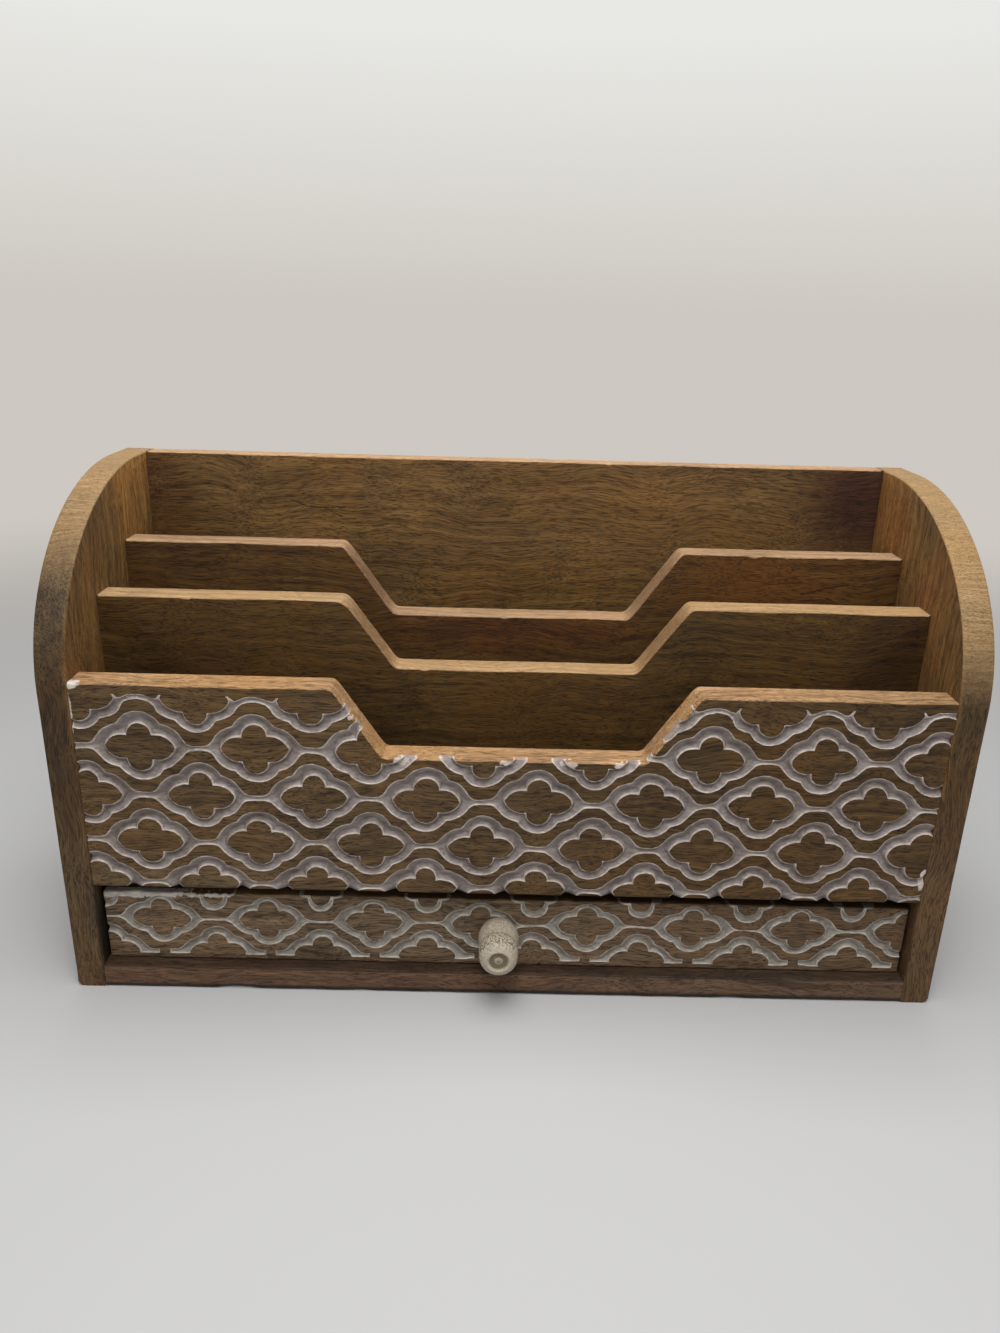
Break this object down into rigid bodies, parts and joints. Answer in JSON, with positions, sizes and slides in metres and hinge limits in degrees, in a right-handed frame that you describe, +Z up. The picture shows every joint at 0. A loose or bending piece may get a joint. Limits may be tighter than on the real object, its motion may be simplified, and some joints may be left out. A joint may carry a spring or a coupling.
{
  "type": "envelope sorter with drawer",
  "caption": "Desk envelope sorter of stained hardwood: curved side panels, upright slots behind a carved trellis front, notched dividers, and a shallow drawer with a turned knob below.",
  "frame": {"origin": "on the floor, under the middle of the bounding box, with the drawer knob counted in", "axes": "+X to the right seen from the front, +Y to the back, +Z up; the carved front faces -Y"},
  "size_m": [0.36, 0.1326, 0.2076],
  "materials": {
    "side_wood": "brown stain, sanded pale on the curved edge",
    "back_wood": "brown stain",
    "divider_wood": "dark brown stain, sanded pale on the top edge",
    "carved_wood": "grey-brown stain with whitewash rubbed into the carving",
    "inner_wood": "dark brown stain",
    "base_wood": "reddish brown stain",
    "drawer_wood": "bare sanded",
    "knob_wood": "whitewashed, turned",
    "steel": "bright wire"
  },
  "bodies": {
    "carcase": {"left_side_panel": "side_wood", "right_side_panel": "side_wood", "back_panel": "back_wood", "front_panel": "carved_wood", "front_divider": "divider_wood", "rear_divider": "divider_wood", "shelf_board": "inner_wood", "bottom_board": "base_wood", "left_side_brads": "steel", "right_side_brads": "steel", "back_brads": "steel"},
    "drawer": {"drawer_front": "carved_wood", "drawer_left_side": "drawer_wood", "drawer_right_side": "drawer_wood", "drawer_back": "drawer_wood", "drawer_bottom": "drawer_wood", "drawer_front_brads": "steel", "drawer_back_brads": "steel", "drawer_knob": "knob_wood", "knob_screw": "steel"}
  },
  "joints": [
    {"name": "drawer_slide", "type": "slide", "parent": "carcase", "child": "drawer", "axis": [0, -1, 0], "range_m": [0, 0.085]}
  ]
}
